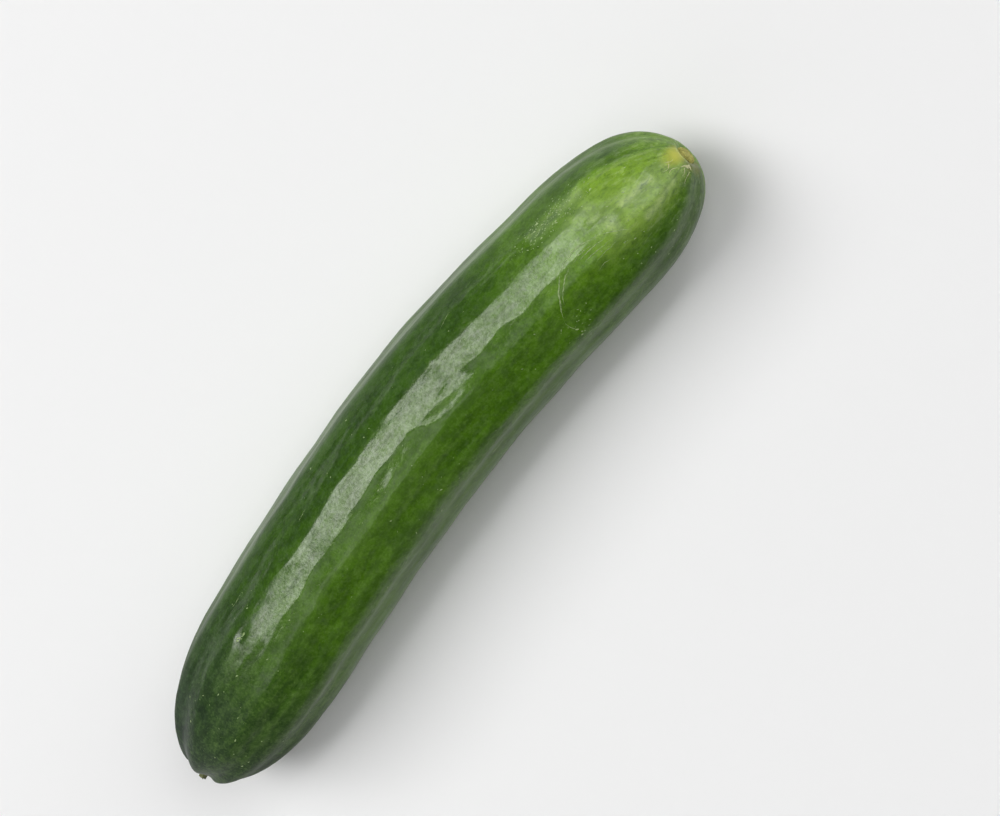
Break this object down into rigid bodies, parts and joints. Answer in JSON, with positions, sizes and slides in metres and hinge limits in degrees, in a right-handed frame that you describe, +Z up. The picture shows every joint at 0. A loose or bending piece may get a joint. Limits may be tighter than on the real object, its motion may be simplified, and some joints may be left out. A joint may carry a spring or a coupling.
{
  "type": "cucumber",
  "caption": "Whole smooth slicing cucumber lying on its side: a gently bent, faintly ribbed green fruit with a stalk stub at one end and a corky blossom scar at the other.",
  "frame": {"origin": "on the surface that the fruit rests on, under the middle of its bounding box", "axes": "+X from the stalk end to the blossom end along the fruit, +Y towards the outer side of its bend, +Z up from the surface"},
  "size_m": [0.2275, 0.0492, 0.0437],
  "materials": {
    "cucumber_skin": "waxy natural skin, satin gloss",
    "stalk": "dry green-brown stalk, matt",
    "blossom_cork": "dry pale cork, matt"
  },
  "bodies": {
    "root": {"fruit": "cucumber_skin", "stalk_stub": "stalk", "blossom_scar": "blossom_cork"}
  },
  "joints": []
}
